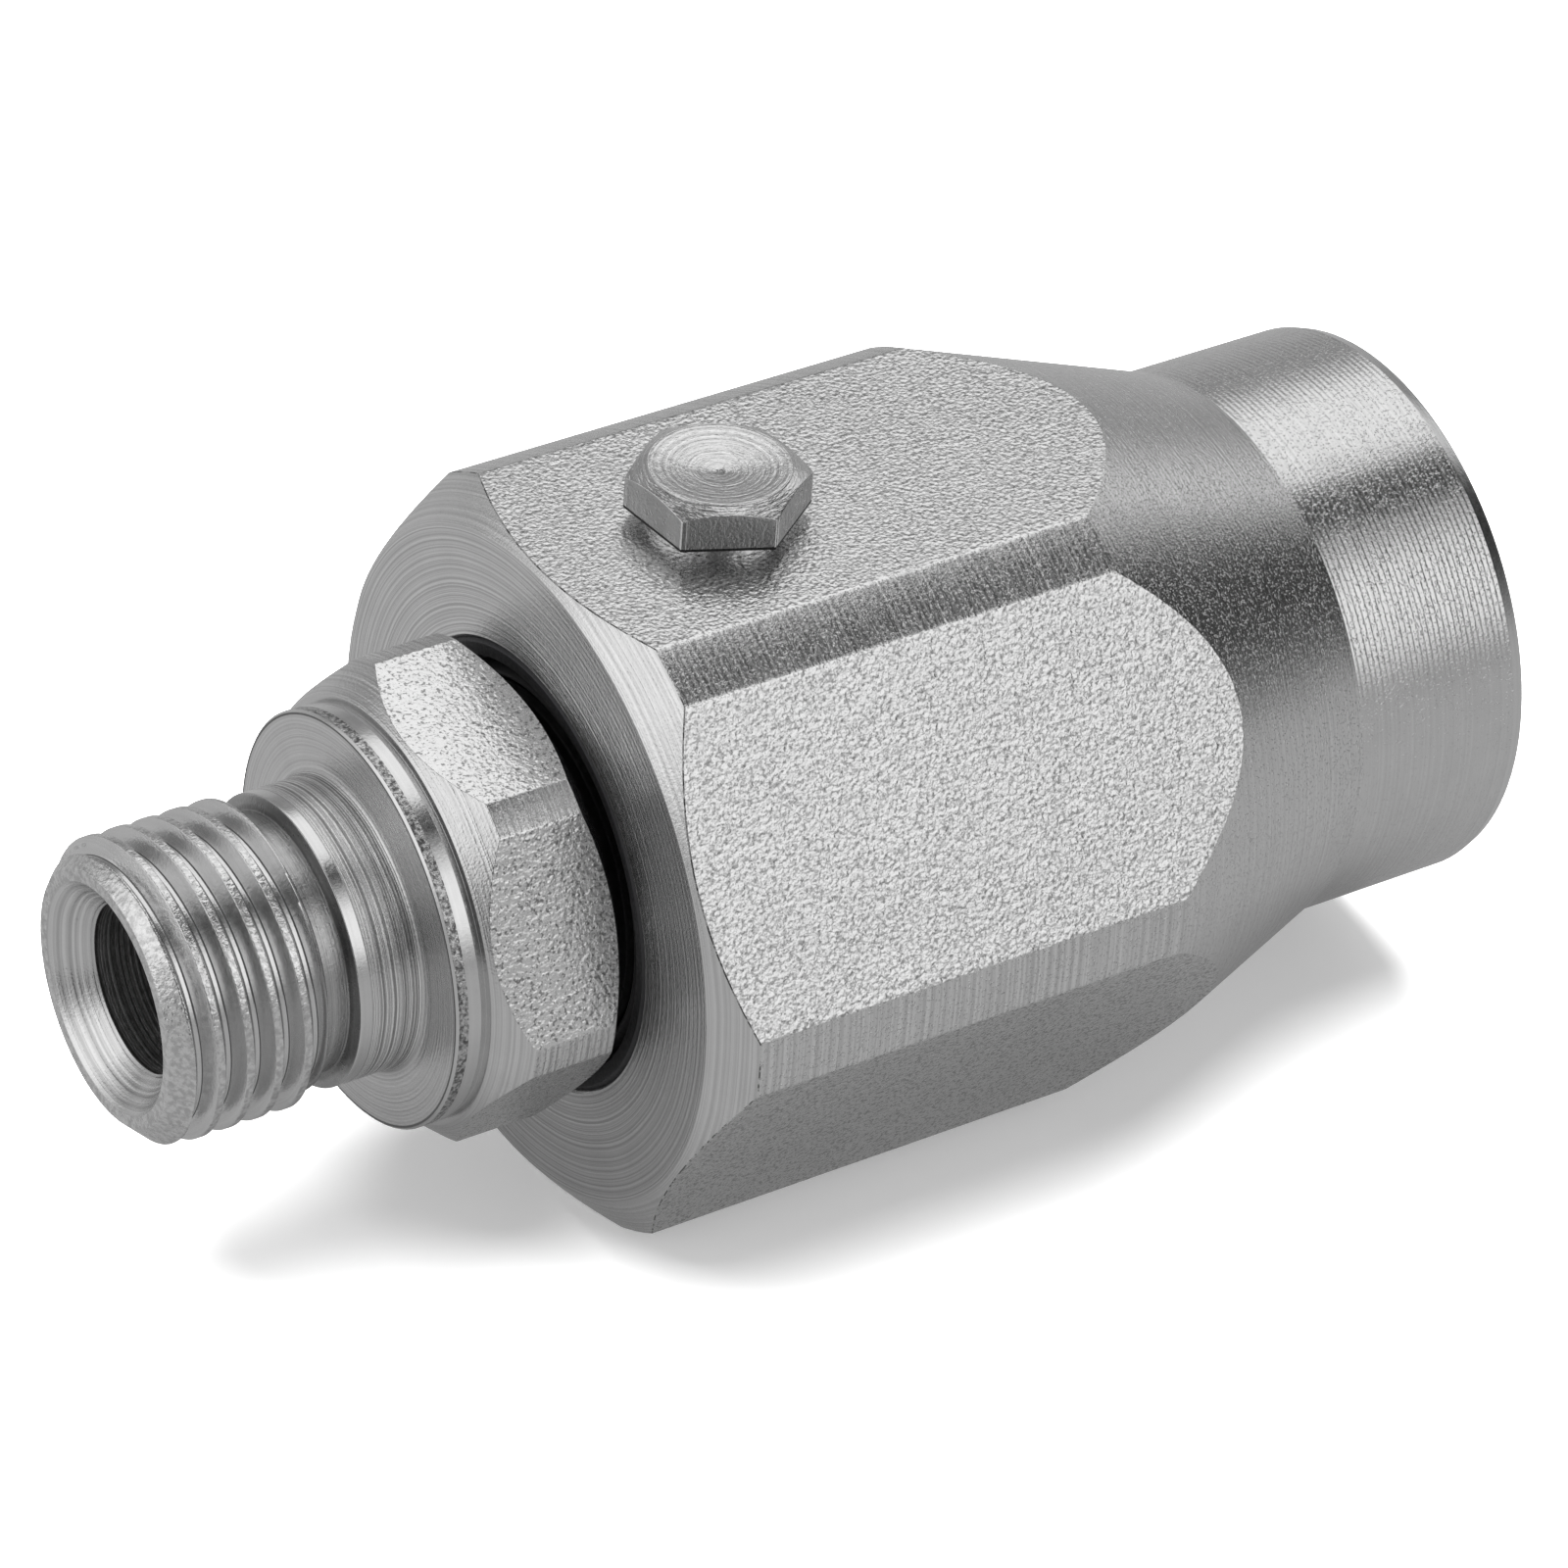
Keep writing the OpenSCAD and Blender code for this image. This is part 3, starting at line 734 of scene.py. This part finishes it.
def make_plug():
    """The plug is turned about X by the same builder, then stood up on the race's axis."""
    columns = hex_columns(PLUG_FLAT, PLUG_CORNER_R, PLUG_REST, on_flat=12, edge_mm=0.06)
    radius = hex_radius(columns, PLUG_FLAT, PLUG_REST, NO_LIMIT, 0.05)
    side_top = PLUG_TOP - (radius - PLUG_FACE_R) * tan(PLUG_CHAMFER_DEG) - 0.06
    # The corner columns take the lighter cap finish: a painted highlight along the hexagon's vertical edges.
    painted_highlight_corner = np.abs(from_flat(columns, PLUG_REST)) > HALF_SECTOR - 0.045

    p = Profile(columns)
    p.to(PLUG_TOP - DISH_DEPTH, PINHOLE_R, 0, PLUG_CAP)
    for ring in np.linspace(0.3, 2.75, 14):
        ripple = 0.012 * math.sin(ring * 16)
        p.to(PLUG_TOP - DISH_DEPTH * (1 - ring / DISH_R) + ripple, ring)
    p.to(PLUG_TOP, DISH_R, 0.06)
    p.to(PLUG_TOP, PLUG_FACE_R, 0.04)
    p.to(PLUG_TOP - 0.06, PLUG_FACE_R + 0.02, 0.02)
    p.to(side_top, radius, 0.05, lambda j: PLUG_CAP if painted_highlight_corner[j] else PLUG_SIDE)
    # The lowest strip of the head's sides is painted nearly black: painted shadow along the foot of the head.
    p.to(PLUG_BASE + 0.14, radius, 0, PLUG_SHADOW_LINE)
    p.to(PLUG_BASE, radius, 0.03, PLUG_CAP)
    p.to(PLUG_BASE, WASHER_R, 0.03)
    p.to(HOUSING_FLAT, WASHER_R, 0.03)
    p.to(HOUSING_FLAT, SHANK_R, 0.03)
    p.to(SHANK_END, SHANK_R, 0.05)
    p.to(SHANK_END, TIP_R, 0.05)
    p.to(TIP_END, TIP_R, 0.05)
    p.to(TIP_END, PINHOLE_R)
    shell = Shell(columns)
    shell.turned(*p.rows(), closed=True)
    mesh = shell.mesh("plug_body")
    mesh.transform(Matrix(((0, 0, -1, RACE_X * MM), (0, 1, 0, 0), (1, 0, 0, 0), (0, 0, 0, 1))))
    plug_set = [
        lathe_finish("zinc_plug_side", ring=0.0, line=0.0, dash=0.02, grain=0.03, roughness=0.3, tone=0.46),
        lathe_finish("zinc_plug_cap", center_x=RACE_X, feed=0.24, ring=0.0015, line=0.016, dash=0.03,
                     grain=0.012, contrast=0.2),
        lathe_finish("zinc_plug_painted_shadow", roughness=0.5, tone=0.05),
    ]
    add_piece("plug_body", mesh, plug_set, "fixed_housing", ["ball_filler_plug"])


def make_wiper():
    columns = np.linspace(0, 2 * math.pi, 160, endpoint=False)
    outer_r = NEST_R - 0.005
    lip_r = SHAFT_R + 0.03
    rim_r = NEST_R - 0.75
    p = Profile(columns)
    p.to(FRONT_X + 0.15, outer_r, 0.03, 0)
    p.to(NEST_END, outer_r, 0.1)
    p.to(NEST_END, lip_r + 1.1, 0.05)
    p.to(NEST_END - 0.8, lip_r + 0.25, 0.1)
    p.to(FRONT_X + 0.75, lip_r, 0.05)
    p.to(FRONT_X + 0.5, lip_r + 0.25, 0.08)
    p.to(FRONT_X + 1.1, rim_r - 0.3, 0.1)
    p.to(FRONT_X + 0.1, rim_r, 0.1)
    p.to(FRONT_X, NEST_R - 0.15, 0.05)
    shell = Shell(columns)
    shell.turned(*p.rows(), closed=True)
    add_piece("wiper_body", shell.mesh("wiper_body"), [nitrile], "fixed_housing", ["wiper_seal"])


make_housing()
make_stem()
make_plug()
make_wiper()


# The inner rings and the balls keep their CAD meshes.

ball_finish = polished("ball_polish")
ptfe = waxy("white_ptfe", (0.8, 0.79, 0.76), 0.1)
bronze_ptfe = waxy("bronze_ptfe", (0.3, 0.18, 0.09), 0.3)
inner_finishes = {
    "pressure_o_ring": nitrile,
    "front_backup_ring": ptfe,
    "rear_backup_ring": ptfe,
    "guide_ring": bronze_ptfe,
    **{f"bearing_ball_{k:02d}": ball_finish for k in range(1, 13)},
}
for name, finish in inner_finishes.items():
    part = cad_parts[name]
    part.data.materials.clear()
    part.data.materials.append(finish)


# Camera

PHOTO_SIZE = 1600
SENSOR = 36.0


def photo_camera():
    """The camera that was solved from the photo: where the lip's centre lies in it, how far and which way."""
    azimuth, elevation, roll = map(math.radians, (-34.4096, 36.0788, 4.0783))
    unit, focal = 0.616 * MM, 8396.864
    image_x, image_y, distance = 106.047, 1019.473, 543.498
    level = math.cos(elevation)
    back = Vector((math.sin(azimuth) * level, -math.cos(azimuth) * level, math.sin(elevation)))
    right = (-back).cross(Vector((0, 0, 1))).normalized()
    up = right.cross(-back)
    right, up = right * math.cos(roll) + up * math.sin(roll), -right * math.sin(roll) + up * math.cos(roll)
    place = Vector((LIP * MM, 0, 0))
    place -= right * ((image_x - PHOTO_SIZE / 2) * distance / focal * unit)
    place += up * ((image_y - PHOTO_SIZE / 2) * distance / focal * unit)
    place += back * (distance * unit)
    data = bpy.data.cameras.new("camera")
    data.sensor_width = SENSOR
    data.lens = focal / PHOTO_SIZE * SENSOR
    data.clip_start, data.clip_end = 0.01, 10.0
    camera = bpy.data.objects.new("camera", data)
    camera.matrix_world = Matrix((
        (right.x, up.x, back.x, place.x),
        (right.y, up.y, back.y, place.y),
        (right.z, up.z, back.z, place.z),
        (0, 0, 0, 1),
    ))
    bpy.context.scene.collection.objects.link(camera)
    bpy.context.scene.camera = camera


# Floor and light

FLOOR_Z = -15.05
MIRRORED_Z = -15.03
FLOOR_HALF = 3.0         # metres
LAMP_POWER = 45.0
LAMP_SIZE = 1.2
LAMP_PLACE = (-0.15, 0.1, 1.1)
LAMP_AIM = (-0.03, 0, 0)


def floor_sheet(name, z, brightness, glow):
    half = FLOOR_HALF
    corners = [(-half, -half, z), (half, -half, z), (half, half, z), (-half, half, z)]
    mesh = bpy.data.meshes.new(name)
    mesh.from_pydata(corners, [], [(0, 1, 2, 3)])
    material, _, bsdf = shader(name + "_paint", (brightness,) * 3, 0.9, 0.0)
    bsdf.inputs["Specular IOR Level"].default_value = 0.0
    bsdf.inputs["Emission Color"].default_value = (1, 1, 1, 1)
    bsdf.inputs["Emission Strength"].default_value = glow
    mesh.materials.append(material)
    sheet = bpy.data.objects.new(name, mesh)
    bpy.context.scene.collection.objects.link(sheet)
    return sheet


def make_floor():
    """A pale floor, and a dimmer sheet just above it that only the metal mirrors."""
    floor = floor_sheet("floor", FLOOR_Z * MM, 0.9, 0.25)
    floor.visible_glossy = False
    mirrored = floor_sheet("floor_as_mirrored", MIRRORED_Z * MM, 0.084, 0.22)
    mirrored.visible_camera = False
    mirrored.visible_diffuse = False
    mirrored.visible_shadow = False


def overhead_lamp():
    """Lights the floor softly from above. Metal doesn't mirror it."""
    light = bpy.data.lights.new("overhead", "AREA")
    light.shape = "DISK"
    light.size = LAMP_SIZE
    light.energy = LAMP_POWER
    lamp = bpy.data.objects.new("overhead", light)
    lamp.location = Vector(LAMP_PLACE)
    lamp.rotation_mode = "QUATERNION"
    lamp.rotation_quaternion = (lamp.location - Vector(LAMP_AIM)).to_track_quat("Z", "Y")
    lamp.visible_camera = False
    lamp.visible_glossy = False
    bpy.context.scene.collection.objects.link(lamp)


def make_world():
    """A studio as the metal mirrors it, made from directions alone.

    x points out of the female port, y away from the photo's side and z up. tilt is the angle about X in
    degrees: 0 is straight up, and positive is towards the photo's side.
    """
    world = bpy.data.worlds.new("studio")
    world.use_nodes = True
    tree = world.node_tree
    place = node(tree, "ShaderNodeTexCoord").outputs["Generated"]
    way = node(tree, "ShaderNodeVectorMath", operation="NORMALIZE", inputs={0: place}).outputs[0]
    split = node(tree, "ShaderNodeSeparateXYZ", inputs={0: way})
    x, y, z = (split.outputs[k] for k in "XYZ")
    tilt = math_node(tree, "ARCTAN2", math_node(tree, "MULTIPLY", y, -1.0), z)
    tilt = math_node(tree, "MULTIPLY", tilt, 180 / math.pi)

    def step(value, low, high):
        """0 below low and 1 above high, or the other way round where low is the larger."""
        return ramp(tree, value, low, high, 0.0, 1.0, smooth=True)

    def all_of(*shares):
        total = shares[0]
        for share in shares[1:]:
            total = math_node(tree, "MULTIPLY", total, share)
        return total

    def blend(a, b, share):
        return node(tree, "ShaderNodeMix", data_type="FLOAT", inputs={0: share, 2: a, 3: b}).outputs[0]

    def card(direction, inner_deg, outer_deg):
        """A round soft card, given by its direction and its inner and outer half angles."""
        aim = tuple(Vector(direction).normalized())
        near = node(tree, "ShaderNodeVectorMath", operation="DOT_PRODUCT", inputs={0: way, 1: aim})
        outer, inner = math.cos(math.radians(outer_deg)), math.cos(math.radians(inner_deg))
        return step(near.outputs["Value"], outer, inner)

    def slanted(slope):
        return math_node(tree, "MULTIPLY_ADD", x, slope, tilt)

    # Below: dim straight down, brighter towards the horizon.
    ground = ramp(tree, z, -1.0, -0.6, 0.27, 0.48)
    ground = math_node(tree, "ADD", ground, ramp(tree, z, -0.6, 0.0, 0.0, 0.13))
    # Above: dark on the photo's side, dim behind, with a glow just over the horizon.
    sky = blend(0.035, 0.3, step(y, -0.15, 0.45))
    sky = math_node(tree, "ADD", sky, ramp(tree, z, 0.0, 0.22, 0.22, 0.0))
    cards = (
        (0.5, step(x, -0.45, -0.7)),                                     # all that lies off the male end
        (0.75, all_of(step(x, -0.4, -0.52), step(y, 0.4, 0.6))),         # and brighter behind it
        (1.17, all_of(step(slanted(-8.0), -60.0, -49.0), step(slanted(34.0), 21.0, 10.0),
                      step(x, -0.1, 0.1), ramp(tree, x, 0.6, 1.0, 1.0, 0.5))),   # long light overhead
        (1.2, all_of(step(tilt, 12.0, 46.0), step(tilt, 96.0, 66.0),
                     step(x, 0.74, 0.6), step(x, -0.3, -0.1))),          # broad card on the photo's side
        (0.12, all_of(step(x, -0.53, -0.46), step(x, 0.05, -0.1),
                      step(y, 0.68, 0.58), step(z, 0.35, 0.5))),         # dark flag overhead
        (1.15, card((-0.84, 0.12, 0.52), 19.0, 37.0)),                   # lamp off the male end
    )
    for level, share in cards:
        sky = blend(sky, level, share)
    light = blend(ground, sky, step(z, -0.05, 0.02))
    light = blend(light, 0.1, card((-0.405, -0.891, 0.203), 22.0, 34.0))   # dark flag near the horizon
    tree.links.new(grey(tree, light), tree.nodes["Background"].inputs["Color"])
    bpy.context.scene.world = world


photo_camera()
make_floor()
make_world()
overhead_lamp()

scene = bpy.context.scene
scene.view_settings.view_transform = "Standard"
scene.view_settings.look = "None"
